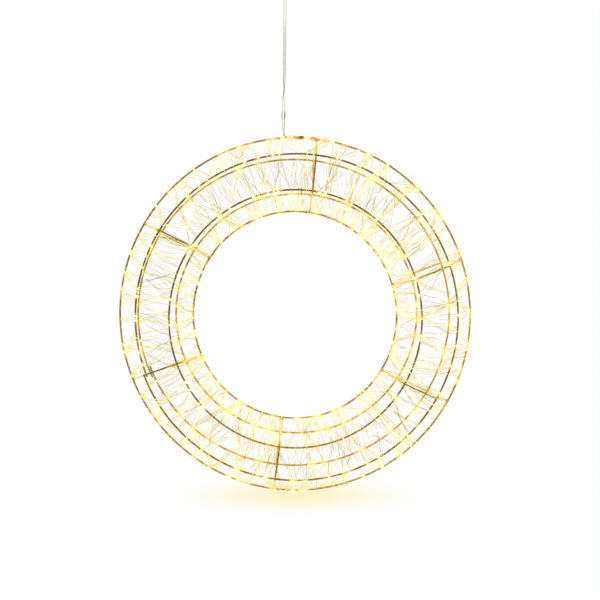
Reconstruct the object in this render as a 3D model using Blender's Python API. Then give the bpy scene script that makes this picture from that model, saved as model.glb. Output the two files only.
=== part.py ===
"""A hanging light wreath. Six wire rings are held in a hexagonal tube shape by six bent hoops, and four strings of
fine light wire are wound round them. A twin lead, spliced to the light wires at the top, hangs from a ceiling hook.
The wreath stands in the XZ plane and faces -Y. The origin is the ceiling face of the hook's collar. Metres, +Z up."""

import math
import random
from collections import namedtuple

import bmesh
import bpy
from mathutils import Vector

# Clearances and mesh fineness
GAP = 0.0003
MERGE = 1e-6
RING_STEPS = 72
RING_SIDES = 1  # bevel_resolution: 0 is four sides, 1 is six, 2 is eight, 6 is sixteen
ROUND_SIDES = 2
FINE_SIDES = 6

# Driving dimensions of the wreath
WREATH_CENTRE = Vector((0.0107, 0.0, -0.4100))
RING_WIRE = 0.0010  # radius
HOOP_WIRE = 0.0009
HOOP_INSET = RING_WIRE + HOOP_WIRE + GAP
HOOP_CORNER_CUT = 0.0023
HOOP_VERTEX_INSET = HOOP_INSET - 0.25 * HOOP_CORNER_CUT
SECTION_DEPTH = 0.0330  # front and back rings stand this far from the middle plane

# direction: which way the ring's corner of the hexagonal section points, from outward (0) over the front (90).
# shift_x, shift_z, oval and long_axis are the ring's hand-made departure from a true circle.
# On a lapped ring, step is how far one end of the wire passes outside its other end, seam is where, and lap is how
# far each end runs past the seam. Angles are in degrees.
Ring = namedtuple("Ring", "name radius depth direction shift_x shift_z oval long_axis step seam lap")
RINGS = (
    Ring("ring_outermost", 0.1900, 0.0, 0, -0.0003, 0.0004, 0.0010, -75, 0.0, 0, 0),
    Ring("ring_front_outer", 0.1710, -SECTION_DEPTH, 60, 0.0008, 0.0002, 0.0009, -84, 0.0025, 200.9, 0.6),
    Ring("ring_front_inner", 0.1346, -SECTION_DEPTH, 120, 0.0001, -0.0016, 0.0015, -89, 0.0, 0, 0),
    Ring("ring_innermost", 0.1111, 0.0, 180, -0.0004, 0.0008, 0.0011, -83, 0.0, 0, 0),
    Ring("ring_back_inner", 0.1334, SECTION_DEPTH, 240, 0.0011, -0.0002, 0.0004, 18, 0.0, 0, 0),
    Ring("ring_back_outer", 0.1714, SECTION_DEPTH, 300, -0.0013, -0.0003, 0.0010, 2, -0.0024, 202.0, 2.2),
)
OUTERMOST = RINGS[0]

# Name, and the place in degrees from +X where each ring crosses it, in the order of RINGS. The hoops are bent by
# hand, so no two corners of one stand quite in line.
HOOPS = (
    ("hoop_right_upper", (18.8, 18.8, 18.4, 17.8, 19.3, 19.4)),
    ("hoop_top", (83.0, 83.0, 82.4, 82.0, 82.2, 82.9)),
    ("hoop_left_upper", (148.6, 147.2, 144.8, 146.2, 148.1, 148.5)),
    ("hoop_left_lower", (201.5, 200.7, 200.5, 203.3, 202.6, 202.3)),
    ("hoop_bottom", (263.0, 262.6, 262.9, 263.0, 262.2, 263.1)),
    ("hoop_right_lower", (330.8, 330.0, 329.5, 327.5, 328.0, 330.0)),
)

# Light strings: name, first angle, way round, how far their corners stand outside the rings, seed.
# Two go round each way, one between the turns of the other, and the second pair lies over the first.
LIGHT_WIRE = 0.00036
TURNS = 25
TURN_SPREAD = 1.4  # degrees that a crossing may lie off its even place
STRING_SPAN = 350.0
STRINGS = (
    ("light_string_1", 96.2, 1, 0.00215, 11),
    ("light_string_2", 103.2, 1, 0.00215, 29),
    ("light_string_3", 77.2, -1, 0.0040, 47),
    ("light_string_4", 70.2, -1, 0.0040, 83),
)
# The stretch of the outermost ring, in degrees, that the anchor's pieces take up, and the room left at a seam
ANCHOR_STRETCH = (79.0, 94.7)
SEAM_CLEAR = 0.6

# Anchor at the top of the outermost ring: places are degrees from +X
FEED_WIRE = 0.00035
FEED_HEIGHT = RING_WIRE + FEED_WIRE + 0.00035
FEED_END = 90.15
COIL_WIRE = 0.0003
COIL_RADIUS = 0.00265
COIL_FROM, COIL_TO, COIL_TURNS = 92.0, 90.4, 5
BAND_BORE = RING_WIRE + 0.00035
BANDS = (
    ("crimp_band_left", 88.55, 0.0090, 0.0020),
    ("crimp_band_right", 84.10, 0.0044, 0.0022),
)
GLUE_BEAD_AT, GLUE_BEAD_LENGTH, GLUE_BEAD_RADIUS = 80.3, 0.0060, 0.0027
DROP_AT, DROP_LENGTH, DROP_RADIUS = 86.1, 0.0040, 0.0013
DROP_HEIGHT, DROP_LEAN = RING_WIRE + DROP_RADIUS + GAP, 65.0  # off the ring's middle, and towards the front

# Splice and twin lead
SPLICE_X = -0.0020
SPLICE_TOP, SPLICE_LENGTH, SPLICE_RADIUS = -0.1915, 0.0078, 0.0021
LEAD_RADIUS = 0.0016
LEAD_ROUTE = (
    (-0.0020, -0.1912), (-0.0017, -0.1830), (-0.0014, -0.1740), (-0.0012, -0.1650),
    (-0.0011, -0.1560), (-0.0010, -0.1470), (-0.0009, -0.1380), (-0.0008, -0.1290),
    (-0.0007, -0.1200), (-0.0006, -0.1110), (-0.0005, -0.1020), (-0.0004, -0.0930),
    (-0.0003, -0.0840), (-0.0002, -0.0750), (0.0, -0.0670), (0.0, -0.0603),
)
LEAD_STEPS = 2

# Ceiling hook, hanging eye and the lead's grip
COLLAR_RADIUS, COLLAR_HEIGHT = 0.0110, 0.0030
HOOK_WIRE, HOOK_BEND, HOOK_NECK_END = 0.0016, 0.0080, -0.0140
HOOK_BOTTOM = HOOK_NECK_END - 2 * HOOK_BEND
EYE_WIRE, EYE_BEND = 0.0011, 0.0050
EYE_CENTRE = HOOK_BOTTOM + HOOK_WIRE + GAP + EYE_WIRE - EYE_BEND
SHANK_END, SHANK_HEAD = -0.0490, 0.0020
SWIVEL = -0.0480
GRIP_TOP, GRIP_SHOULDER, GRIP_END = -0.0415, -0.0540, -0.0600
GRIP_RADIUS, GRIP_SPIGOT = 0.0050, 0.0034
GRIP_BORE, GRIP_CHAMBER = 0.0015, 0.0025
NUT_TOP, NUT_END, NUT_RADIUS = GRIP_SHOULDER - 0.0004, -0.0630, 0.0056
NUT_BORE, NUT_MOUTH = 0.0039, 0.0023


def clear_scene():
    for obj in list(bpy.data.objects):
        bpy.data.objects.remove(obj, do_unlink=True)


def material(name, colour, roughness, metallic=0.0):
    made = bpy.data.materials.new(name)
    made.use_nodes = True
    shader = made.node_tree.nodes["Principled BSDF"]
    shader.inputs["Base Color"].default_value = (*colour, 1.0)
    shader.inputs["Roughness"].default_value = roughness
    shader.inputs["Metallic"].default_value = metallic
    return made


def place(obj, parent=None):
    """Links an object, keeping its world place, and hangs it on a parent empty."""
    bpy.context.collection.objects.link(obj)
    if parent:
        obj.parent = parent
        obj.location = obj.location - parent_place(parent)
    return obj


def parent_place(parent):
    where = Vector((0.0, 0.0, 0.0))
    while parent:
        where = where + parent.location
        parent = parent.parent
    return where


def pivot(name, where, parent=None):
    empty = bpy.data.objects.new(name, None)
    empty.location = where
    return place(empty, parent)


def wire(name, points, radius, paint, parent, centre=(0, 0, 0), cyclic=False, sides=ROUND_SIDES, radii=None):
    """A round wire along world points, with its origin at centre. radii scales the wire at each point."""
    curve = bpy.data.curves.new(name, "CURVE")
    curve.dimensions = "3D"
    curve.bevel_depth = radius
    curve.bevel_resolution = sides
    curve.use_fill_caps = True
    spline = curve.splines.new("POLY")
    spline.points.add(len(points) - 1)
    for index, point in enumerate(points):
        spline.points[index].co = (*(Vector(point) - Vector(centre)), 1.0)
        spline.points[index].radius = radii[index] if radii else 1.0
    spline.use_cyclic_u = cyclic
    curve.materials.append(paint)
    obj = bpy.data.objects.new(name, curve)
    obj.location = centre
    return place(obj, parent)


def turned(name, profile, paint, parent, centre, axis=(0, 0, 1), closed=False, steps=16):
    """A turned piece: (radius, height) points, spun about an axis through centre."""
    bm = bmesh.new()
    verts = [bm.verts.new((radius, 0.0, height)) for radius, height in profile]
    edges = [bm.edges.new(pair) for pair in zip(verts, verts[1:])]
    if closed:
        edges.append(bm.edges.new((verts[-1], verts[0])))
    bmesh.ops.spin(
        bm, geom=verts + edges, cent=(0, 0, 0), axis=(0, 0, 1), angle=math.tau, steps=steps
    )
    bmesh.ops.remove_doubles(bm, verts=bm.verts, dist=MERGE)
    bmesh.ops.recalc_face_normals(bm, faces=bm.faces)
    bm.transform(Vector((0, 0, 1)).rotation_difference(Vector(axis)).to_matrix().to_4x4())
    mesh = bpy.data.meshes.new(name)
    bm.to_mesh(mesh)
    bm.free()
    mesh.shade_smooth()
    mesh.set_sharp_from_angle(angle=math.radians(40))
    mesh.materials.append(paint)
    obj = bpy.data.objects.new(name, mesh)
    obj.location = centre
    return place(obj, parent)


def smooth(points, steps):
    """Points on a Catmull-Rom curve through the given ones."""
    points = [Vector(point) for point in points]
    ends = [2 * points[0] - points[1], *points, 2 * points[-1] - points[-2]]
    found = []
    for a, b, c, d in zip(ends, ends[1:], ends[2:], ends[3:]):
        for step in range(steps):
            t = step / steps
            found.append(
                0.5 * (2 * b + (c - a) * t + (2 * a - 5 * b + 4 * c - d) * t**2
                       + (3 * b - a - 3 * c + d) * t**3)
            )
    return found + [points[-1]]


def ring_radius(ring, degrees, turn=0):
    """Radius at an angle. turn is 1 or -1 on the short stretches where the wire runs past its seam."""
    spiral = ((degrees - ring.seam) % 360.0) / 360.0 + turn
    oval = ring.oval * math.cos(2 * math.radians(degrees - ring.long_axis))
    return ring.radius + oval + ring.step * (0.5 - spiral)


def ring_point(ring, degrees, outward=0.0, lean=0.0, turn=0):
    """World point at an angle round a ring. outward moves it off the wire's middle, away from the section's
    middle, and lean turns that direction towards the front, in degrees."""
    theta = math.radians(degrees)
    direction = math.radians(ring.direction + lean)
    radius = ring_radius(ring, degrees, turn) + outward * math.cos(direction)
    return WREATH_CENTRE + Vector((
        ring.shift_x + radius * math.cos(theta),
        ring.depth - outward * math.sin(direction),
        ring.shift_z + radius * math.sin(theta),
    ))


def ring_wire(ring, paint, parent):
    """A closed ring, or one whose two ends lap side by side at the seam."""
    if not ring.step:
        points = [ring_point(ring, 360.0 * step / RING_STEPS) for step in range(RING_STEPS)]
        return wire(ring.name, points, RING_WIRE, paint, parent, WREATH_CENTRE, True, RING_SIDES)
    span = 360.0 + 2 * ring.lap
    points = []
    for step in range(RING_STEPS + 1):
        along = span * step / RING_STEPS - ring.lap
        turn = -1 if along < 0 else 1 if along > 360.0 else 0
        points.append(ring_point(ring, ring.seam + along, turn=turn))
    return wire(ring.name, points, RING_WIRE, paint, parent, WREATH_CENTRE, False, RING_SIDES)


def hoop_points(angles):
    """A hexagon inside the rings with rounded corners, one at each ring."""
    corners = [ring_point(ring, degrees, -HOOP_VERTEX_INSET) for ring, degrees in zip(RINGS, angles)]
    points = []
    for index, corner in enumerate(corners):
        before = corner + (corners[index - 1] - corner).normalized() * HOOP_CORNER_CUT
        after = corner + (corners[(index + 1) % len(corners)] - corner).normalized() * HOOP_CORNER_CUT
        points += [before, 0.25 * before + 0.5 * corner + 0.25 * after, after]
    return points


def clear_of_fittings(ring, degrees):
    """The angle, moved out of the stretch that the anchor or a seam takes up, to its nearer end."""
    if ring is OUTERMOST:
        low, high = ANCHOR_STRETCH
    elif ring.step:
        low, high = ring.seam - ring.lap - SEAM_CLEAR, ring.seam + ring.lap + SEAM_CLEAR
    else:
        return degrees
    within = degrees % 360.0
    if low < within < high:
        return degrees + (low if within - low < high - within else high) - within
    return degrees


def light_string_points(first, way, outward, seed):
    """Turns of a light string round the rings, each crossing a little off its even place."""
    chance = random.Random(seed)
    points = []
    for crossing in range(TURNS * len(RINGS)):
        ring = RINGS[crossing % len(RINGS)]
        even = first + way * STRING_SPAN * crossing / (TURNS * len(RINGS))
        degrees = even + chance.uniform(-TURN_SPREAD, TURN_SPREAD)
        points.append(ring_point(ring, clear_of_fittings(ring, degrees), outward))
    return points


def feed_wires(paint, parent):
    """Two enamelled wires from the splice, down to the outermost ring and along its top under the coil."""
    x, z = WREATH_CENTRE.x, WREATH_CENTRE.z
    top = SPLICE_TOP - SPLICE_LENGTH - GAP
    drops = {
        "feed_wire_left": (
            ((-0.01365, 0.0, None), (-0.0136, 0.0, 0.2060), (-0.0134, 0.0, 0.2010),
             (-0.0131, 0.0, 0.1970), (-0.0124, 0.0, 0.1942), (-0.0112, 0.0, 0.1930)), 0.0,
        ),
        "feed_wire_right": (
            ((-0.01175, 0.0, None), (-0.0118, -0.0003, 0.2060), (-0.0120, -0.0008, 0.2005),
             (-0.0118, -0.0012, 0.1960), (-0.0112, -0.0013, 0.1934), (-0.0100, -0.0013, 0.1924)), 50.0,
        ),
    }
    for name, (drop, lean) in drops.items():
        route = [Vector((x + dx, y, top if dz is None else z + dz)) for dx, y, dz in drop]
        route += [ring_point(OUTERMOST, angle, FEED_HEIGHT, lean) for angle in (92.5, 91.7, 90.9, FEED_END)]
        wire(name, smooth(route, 3), FEED_WIRE, paint, parent, route[0], sides=RING_SIDES)


def binding_coil(paint, parent):
    """A tight coil that ties the feed wires to the outermost ring."""
    per_turn = 10
    points = []
    for step in range(COIL_TURNS * per_turn + 1):
        share = step / (COIL_TURNS * per_turn)
        degrees = COIL_FROM + (COIL_TO - COIL_FROM) * share
        points.append(ring_point(OUTERMOST, degrees, COIL_RADIUS, 360.0 * step / per_turn))
    wire("binding_coil", points, COIL_WIRE, paint, parent, points[0], sides=0)


def along_ring(degrees):
    """Direction of the outermost ring's wire at an angle."""
    theta = math.radians(degrees)
    return (-math.sin(theta), 0.0, math.cos(theta))


def anchor_pieces(copper, glue, lamp, parent):
    """Crimp bands and a glue bead round the outermost ring, and the first lamp drop, in front of it."""
    for name, at, length, radius in BANDS:
        half, edge = length / 2, 0.0003
        profile = (
            (BAND_BORE, -half), (radius - edge, -half), (radius, edge - half),
            (radius, half - edge), (radius - edge, half), (BAND_BORE, half),
        )
        turned(name, profile, copper, parent, ring_point(OUTERMOST, at), along_ring(at), True, 12)
    bead = [(BAND_BORE, -GLUE_BEAD_LENGTH / 2)]
    for step in range(7):
        turn = math.pi * (0.1 + 0.8 * step / 6)
        swell = BAND_BORE + 0.0002 + (GLUE_BEAD_RADIUS - BAND_BORE - 0.0002) * math.sin(turn)
        bead.append((swell, -GLUE_BEAD_LENGTH / 2 * math.cos(turn) / math.cos(0.1 * math.pi)))
    bead.append((BAND_BORE, GLUE_BEAD_LENGTH / 2))
    at = GLUE_BEAD_AT
    turned("glue_bead", bead, glue, parent, ring_point(OUTERMOST, at), along_ring(at), True, 12)
    drop = []
    for step in range(7):
        turn = math.pi * step / 6
        drop.append((DROP_RADIUS * math.sin(turn), -DROP_LENGTH / 2 * math.cos(turn)))
    drop[0], drop[-1] = (0.0, drop[0][1]), (0.0, drop[-1][1])
    turned(
        "anchor_lamp_drop", drop, lamp, parent,
        ring_point(OUTERMOST, DROP_AT, DROP_HEIGHT, DROP_LEAN), along_ring(DROP_AT), steps=10,
    )


def splice_and_lead(clear, parent):
    half, edge = SPLICE_LENGTH / 2, 0.0004
    profile = (
        (0.0, -half), (SPLICE_RADIUS - edge, -half), (SPLICE_RADIUS, edge - half),
        (SPLICE_RADIUS, half - edge), (SPLICE_RADIUS - edge, half), (0.0, half),
    )
    turned("splice_sleeve", profile, clear, parent, (SPLICE_X, 0.0, SPLICE_TOP - half), steps=14)
    route = smooth([(x, 0.0, z) for x, z in LEAD_ROUTE], LEAD_STEPS)
    wire("twin_lead", route, LEAD_RADIUS, clear, parent, route[0])


def ceiling_hook(paint):
    """A cup hook: a flat collar against the ceiling, a neck, and a bend open on the left."""
    edge = 0.0005
    path = [(0, 0), (0, edge - COLLAR_HEIGHT), (0, -COLLAR_HEIGHT), (0, -COLLAR_HEIGHT - 0.0002)]
    radii = [COLLAR_RADIUS, COLLAR_RADIUS, COLLAR_RADIUS - edge, 1.3 * HOOK_WIRE]
    path += [(0, -COLLAR_HEIGHT - 0.0012), (0, HOOK_NECK_END + 0.001)]
    radii += [HOOK_WIRE, HOOK_WIRE]
    middle = HOOK_NECK_END - HOOK_BEND
    for degrees in range(70, -186, -15):
        turn = math.radians(degrees)
        path.append((HOOK_BEND * math.cos(turn), middle + HOOK_BEND * math.sin(turn)))
        radii.append(HOOK_WIRE)
    path.append((path[-1][0] - 0.0012, path[-1][1] + 0.0018))
    radii.append(0.8 * HOOK_WIRE)
    points = [(x, 0.0, z) for x, z in path]
    scales = [radius / HOOK_WIRE for radius in radii]
    wire("ceiling_hook", points, HOOK_WIRE, paint, None, (0, 0, 0), sides=FINE_SIDES, radii=scales)


def hanging_eye(paint, parent):
    """A bent wire eye in the hook, with a headed shank that turns in the grip."""
    path = [(0, SHANK_END), (0, SHANK_END + 0.0016), (0, SHANK_END + 0.0018), (0, SHANK_END + 0.0020)]
    radii = [SHANK_HEAD, SHANK_HEAD, 1.4 * EYE_WIRE, EYE_WIRE]
    path += [(0, GRIP_TOP), (0, EYE_CENTRE - EYE_BEND - 0.0018), (0.0008, EYE_CENTRE - EYE_BEND - 0.0004)]
    radii += [EYE_WIRE] * 3
    for degrees in range(-60, 221, 20):
        turn = math.radians(degrees)
        path.append((EYE_BEND * math.cos(turn), EYE_CENTRE + EYE_BEND * math.sin(turn)))
        radii.append(EYE_WIRE)
    points = [(0.0, y, z) for y, z in path]
    scales = [radius / EYE_WIRE for radius in radii]
    centre = (0, 0, HOOK_BOTTOM)
    wire("hanging_eye", points, EYE_WIRE, paint, parent, centre, sides=ROUND_SIDES, radii=scales)


def lead_grip(body_paint, nut_paint, parent):
    """The moulded body that the eye's shank turns in, and the nut that closes it round the lead."""
    edge, chamber_top, chamber_end = 0.0008, SHANK_END + 0.0025, SHANK_END - 0.0006
    body = (
        (0.0, GRIP_END), (GRIP_SPIGOT - edge / 2, GRIP_END), (GRIP_SPIGOT, GRIP_END + edge / 2),
        (GRIP_SPIGOT, GRIP_SHOULDER), (GRIP_RADIUS, GRIP_SHOULDER),
        (GRIP_RADIUS, GRIP_TOP - 2 * edge), (GRIP_RADIUS - edge, GRIP_TOP - edge / 2),
        (0.55 * GRIP_RADIUS, GRIP_TOP), (GRIP_BORE, GRIP_TOP), (GRIP_BORE, chamber_top),
        (GRIP_CHAMBER, chamber_top), (GRIP_CHAMBER, chamber_end), (0.0, chamber_end),
    )
    body = [(radius, height - SWIVEL) for radius, height in body]
    turned("lead_grip_body", body, body_paint, parent, (0, 0, SWIVEL))
    middle = (NUT_TOP + NUT_END) / 2
    nut = (
        (NUT_MOUTH, NUT_END), (NUT_RADIUS - 2 * edge, NUT_END), (NUT_RADIUS, NUT_END + 2 * edge),
        (NUT_RADIUS, NUT_TOP - edge / 2), (NUT_RADIUS - edge / 2, NUT_TOP), (NUT_BORE, NUT_TOP),
        (NUT_BORE, GRIP_END - 0.0006), (NUT_MOUTH, GRIP_END - 0.0012),
    )
    nut = [(radius, height - middle) for radius, height in nut]
    turned("lead_grip_nut", nut, nut_paint, parent, (0, 0, middle), closed=True)


def main():
    clear_scene()
    gold = material("gold_wire", (0.62, 0.42, 0.12), 0.35, 1.0)
    bronze = material("bronze_wire", (0.30, 0.24, 0.10), 0.45, 1.0)
    copper = material("light_wire", (0.80, 0.55, 0.25), 0.35, 1.0)
    enamel = material("enamelled_copper", (0.72, 0.42, 0.12), 0.35, 1.0)
    clear = material("clear_pvc", (0.80, 0.81, 0.76), 0.20)
    glue = material("amber_glue", (0.90, 0.58, 0.18), 0.30)
    lamp = material("lamp_drop", (1.0, 0.93, 0.75), 0.15)
    moulded = material("white_moulding", (0.85, 0.85, 0.83), 0.45)
    steel = material("hook_steel", (0.75, 0.75, 0.76), 0.25, 1.0)

    swing = pivot("swing_pivot", (0, 0, HOOK_BOTTOM))
    swivel = pivot("swivel_pivot", (0, 0, SWIVEL), swing)
    ceiling_hook(steel)
    hanging_eye(steel, swing)
    lead_grip(moulded, moulded, swivel)
    splice_and_lead(clear, swivel)
    feed_wires(enamel, swivel)
    binding_coil(enamel, swivel)
    anchor_pieces(enamel, glue, lamp, swivel)
    for ring in RINGS:
        ring_wire(ring, gold, swivel)
    for name, angles in HOOPS:
        points = hoop_points(angles)
        wire(name, points, HOOP_WIRE, bronze, swivel, WREATH_CENTRE, True, RING_SIDES)
    for name, first, way, outward, seed in STRINGS:
        points = light_string_points(first, way, outward, seed)
        wire(name, points, LIGHT_WIRE, copper, swivel, WREATH_CENTRE, sides=0)


main()
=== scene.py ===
"""The looks of a hanging light wreath: gold wires, glowing light strings, a clear twin lead and its hook.
The wreath stands in the XZ plane and faces -Y, with the ceiling face of its hook at the origin. Metres, +Z up."""

import math
import random
from collections import namedtuple
from math import cos, exp, pi, radians, sin, tau

import bmesh
import bpy
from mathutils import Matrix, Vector, kdtree, noise


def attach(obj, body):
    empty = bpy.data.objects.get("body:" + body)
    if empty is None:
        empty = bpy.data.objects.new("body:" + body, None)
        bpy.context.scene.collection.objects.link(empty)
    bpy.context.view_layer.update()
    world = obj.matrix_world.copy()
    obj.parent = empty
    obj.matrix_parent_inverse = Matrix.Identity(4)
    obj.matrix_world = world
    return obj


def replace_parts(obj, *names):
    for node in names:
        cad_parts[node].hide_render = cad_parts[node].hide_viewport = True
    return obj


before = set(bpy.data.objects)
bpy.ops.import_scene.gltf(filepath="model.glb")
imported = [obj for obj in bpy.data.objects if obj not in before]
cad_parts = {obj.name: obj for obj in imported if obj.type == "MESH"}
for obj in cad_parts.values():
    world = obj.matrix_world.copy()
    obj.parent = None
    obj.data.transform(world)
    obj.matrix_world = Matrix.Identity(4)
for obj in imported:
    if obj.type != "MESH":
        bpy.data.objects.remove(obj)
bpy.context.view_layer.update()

# The wreath's frame, as the CAD part has it
GAP = 0.0003
CENTRE = Vector((0.0107, 0.0, -0.41))
SECTION_DEPTH, SECTION_MIDDLE = 0.033, 0.151  # the middle of the wire tube's section is that far from the centre
RING_WIRE, HOOP_WIRE = 0.001, 0.0009
CORNER_CUT = 0.0023
HOOP_INSET = RING_WIRE + HOOP_WIRE + GAP - 0.25 * CORNER_CUT
Ring = namedtuple("Ring", "name radius depth direction shift_x shift_z oval long_axis step seam lap")
RINGS = (
    Ring("ring_outermost", 0.1900, 0.0, 0, -0.0003, 0.0004, 0.0010, -75, 0.0, 0, 0),
    Ring("ring_front_outer", 0.1710, -SECTION_DEPTH, 60, 0.0008, 0.0002, 0.0009, -84, 0.0025, 200.9, 0.6),
    Ring("ring_front_inner", 0.1346, -SECTION_DEPTH, 120, 0.0001, -0.0016, 0.0015, -89, 0.0, 0, 0),
    Ring("ring_innermost", 0.1111, 0.0, 180, -0.0004, 0.0008, 0.0011, -83, 0.0, 0, 0),
    Ring("ring_back_inner", 0.1334, SECTION_DEPTH, 240, 0.0011, -0.0002, 0.0004, 18, 0.0, 0, 0),
    Ring("ring_back_outer", 0.1714, SECTION_DEPTH, 300, -0.0013, -0.0003, 0.0010, 2, -0.0024, 202.0, 2.2),
)
OUTERMOST = RINGS[0]
# Hoops: the place of each corner in degrees, one at each ring
HOOPS = (
    ("hoop_right_upper", (18.8, 18.8, 18.4, 17.8, 19.3, 19.4)),
    ("hoop_top", (83.0, 83.0, 82.4, 82.0, 82.2, 82.9)),
    ("hoop_left_upper", (148.6, 147.2, 144.8, 146.2, 148.1, 148.5)),
    ("hoop_left_lower", (201.5, 200.7, 200.5, 203.3, 202.6, 202.3)),
    ("hoop_bottom", (263.0, 262.6, 262.9, 263.0, 262.2, 263.1)),
    ("hoop_right_lower", (330.8, 330.0, 329.5, 327.5, 328.0, 330.0)),
)

# Weld beads: half sizes along the ring, outward and across, how far out they sit, and their painted light
WELD_SIZE, LAP_WELD_SIZE = (0.0017, 0.0014, 0.0012), (0.0019, 0.0014, 0.0011)
WELD_OUTWARD, WELD_LIGHT = -0.0011, 0.45
ANCHOR_WELD, ANCHOR_WELD_LIGHT = (OUTERMOST, 82.8, -0.0002, (0.0034, 0.0018, 0.0016)), 0.22

# Light strings: name, first angle, way round, how far out they pass the rings, seed. Each is three wires.
STRINGS = (
    ("light_string_1", 96.2, 1, 0.0013, 11),
    ("light_string_2", 103.2, 1, 0.0013, 29),
    ("light_string_3", 77.2, -1, 0.00185, 47),
    ("light_string_4", 70.2, -1, 0.00185, 83),
)
TURNS, STRING_SPAN = 25, 356.0  # of each string, and the degrees round the wreath that they fill
CROWDING, CROWDED_AT = 4.0, 65.0  # degrees that crossings move towards this angle and the one opposite
LIGHT_WIRE = 0.0002
WIRES = (-1, 0, 1)
WIRE_PITCH, WIRE_SPREAD = 0.0026, 0.0022  # how far apart a string's wires pass a ring, and how much that varies
WRAP = 28.0  # degrees that a wire bends round a ring, to each side of its corner
SLANT = 2.4  # spread, in degrees, of a crossing about its even place
BOW, DIP = 0.0017, 0.0006  # spread of how far a stretch between rings bows sideways and inwards
SHARES = (0.12, 0.28, 0.44, 0.58, 0.72, 0.88)  # points along such a stretch
AT_RING = 3  # points where a wire bends round a ring
LAMP_PITCH, LAMP_LENGTH, LAMP_RADIUS = 0.04, 0.0028, 0.00088
LAMPS_ON_RINGS = 0.4  # share of the lamps that lie over a ring
CLEAR_OF_HOOPS = 1.8  # degrees between a lamp and the nearest hoop
BIG_LAMPS, BIG_LAMP_SIZE = (78.1, 269.2, 273.1), (0.0046, 0.0014)  # places round the outermost ring
# Degrees that lamps turn off the outward way: on front and back rings, on the other two, and the big ones
LAMP_LEAN, EDGE_LAMP_LEAN, BIG_LAMP_LEAN = 12.0, (60.0, 85.0), 80.0
LAMP_LIGHT = 0.6
ANCHOR_STRETCH, SEAM_CLEAR = (79.0, 94.7), 0.6  # crossings keep clear of the anchor, and this far off a lap
# Lamps keep off the bottom of one ring, at a place of SHARES beside it. Wires over it keep a share of their light
# there, and the ring gains some.
BARE_RING, BARE_STRETCH, BARE_EASE = "ring_front_inner", (225.0, 318.0), 8.0
BARE_SHARE, BARE_KEEPS, BARE_GAIN = 1, 0.9, 0.18

# Anchor at the top of the outermost ring: places are degrees from +X
FEED_WIRE, FEED_PLACES = 0.00035, (92.5, 91.7, 90.9, 90.15)
FEED_HEIGHT = RING_WIRE + FEED_WIRE + 0.00035
FEED_LAP = 0.0012  # how far the feed wires reach into the sleeve
COIL_WIRE, COIL_RADIUS, COIL_FROM, COIL_TO, COIL_TURNS, COIL_LIGHT = 0.0003, 0.00265, 92.6, 90.4, 11, 1.5
BAND_BORE, BAND_RIM = RING_WIRE + 0.00035, 0.00025
# Bands: name, place, length, radius, seed, their painted light, and how much painted shade darkens the top's right
BANDS = (
    ("crimp_band_left", 88.55, 0.009, 0.002, 3, 0.72, 0.95),
    ("crimp_band_right", 84.2, 0.005, 0.0022, 8, 0.68, 0.2),
)
BEAD_AT, BEAD_LENGTH, BEAD_RADIUS, TAIL_RADIUS = 80.3, 0.006, 0.0027, 0.0015  # of glue
DROP_AT, DROP_LENGTH, DROP_RADIUS, DROP_LEAN = 85.7, 0.004, 0.0013, 65.0

# Splice and lead
SPLICE_X, SPLICE_TOP, SPLICE_LENGTH, SPLICE_RADIUS = -0.002, -0.1915, 0.0078, 0.0021
SLEEVE_MOUTH, SLEEVE_LAP = 0.0017, 0.0007  # the sleeve's half width at its ends, and how far it laps the lead
SLEEVE_DEPTH, SLEEVE_SWELL, SLEEVE_RIPPLE, SLEEVE_LIGHT = 0.001, 0.0006, 0.00004, 0.95
JOINT_AT, JOINT_LENGTH = 0.001, 0.0032  # the soldered joints: how far to each side, and half their length
LEAD_WIDTH, LEAD_CORE, CONDUCTOR = 0.0032, 0.00078, 0.00036
LEAD_WALL = LEAD_CORE * 1.04
LEAD_TWIST, TWIST_AT, TWIST_REACH = 88.0, 0.185, 0.075  # degrees, and shares of the lead's length
WEB_FROM, WEB_GROWS, WEB_LEAST = 0.006, 0.003, 0.08  # the web that joins the two walls, from the splice on
# Painted shade: the lead is darker between its ends
LEAD_SHADE, LEAD_PALE_FROM, LEAD_FADE = 0.31, -0.087, 0.028  # it is darker between its ends
LEAD_ROUTE = (
    (-0.002, -0.1912), (-0.0017, -0.183), (-0.0014, -0.174), (-0.0012, -0.165),
    (-0.0011, -0.156), (-0.001, -0.147), (-0.0009, -0.138), (-0.0008, -0.129),
    (-0.0007, -0.12), (-0.0006, -0.111), (-0.0005, -0.102), (-0.0004, -0.093),
    (-0.0003, -0.084), (-0.0002, -0.075), (0.0, -0.067), (0.0, -0.0603),
)

# Ceiling hook, hanging eye and the lead's grip
COLLAR_RADIUS, COLLAR_HEIGHT = 0.011, 0.003
HOOK_WIRE, HOOK_BEND, HOOK_NECK_END = 0.0016, 0.008, -0.014
HOOK_NECK, HOOK_SHOULDER = (-COLLAR_HEIGHT, -0.006), -0.0085
HOOK_ARC, EYE_ARC = range(60, -186, -5), range(-60, 221, 8)  # degrees round their bends
HOOK_BOTTOM = HOOK_NECK_END - 2 * HOOK_BEND
EYE_WIRE, EYE_BEND = 0.0011, 0.005
EYE_CENTRE = HOOK_BOTTOM + HOOK_WIRE + GAP + EYE_WIRE - EYE_BEND
SHANK_END, SHANK_HEAD = -0.049, 0.002
GRIP_TOP, GRIP_SHOULDER, GRIP_END = -0.0415, -0.054, -0.06
GRIP_RADIUS, GRIP_SPIGOT, GRIP_BORE, GRIP_CHAMBER = 0.005, 0.0034, 0.0015, 0.0025
NUT_TOP, NUT_END, NUT_RADIUS = GRIP_SHOULDER - 0.0004, -0.063, 0.0056
NUT_BORE, NUT_MOUTH = 0.0039, 0.0023
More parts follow.
